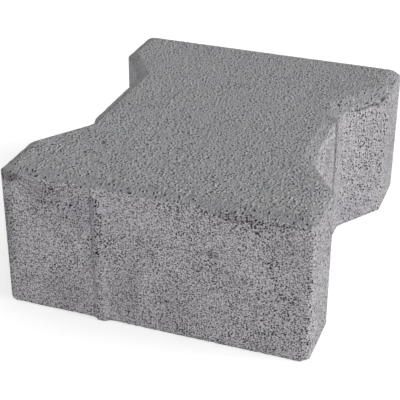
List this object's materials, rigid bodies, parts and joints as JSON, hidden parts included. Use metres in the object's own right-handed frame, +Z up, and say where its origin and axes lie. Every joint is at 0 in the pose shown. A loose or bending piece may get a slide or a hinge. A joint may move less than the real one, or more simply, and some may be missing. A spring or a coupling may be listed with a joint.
{
  "type": "interlocking concrete paving stone",
  "caption": "Double-T interlocking concrete paving stone with a bevelled wearing face, two side notches that take the neighbouring stones, and spacer nibs.",
  "frame": {"origin": "middle of the flat bed face on the underside", "axes": "+X across the heads, +Y along the stone's long way, +Z up through its thickness to the wearing face"},
  "size_m": [0.165, 0.205, 0.08],
  "materials": {
    "concrete": "grey pressed concrete, matt, with a fine open grain and small pores"
  },
  "bodies": {
    "root": {"paving_stone": "concrete"}
  },
  "joints": []
}
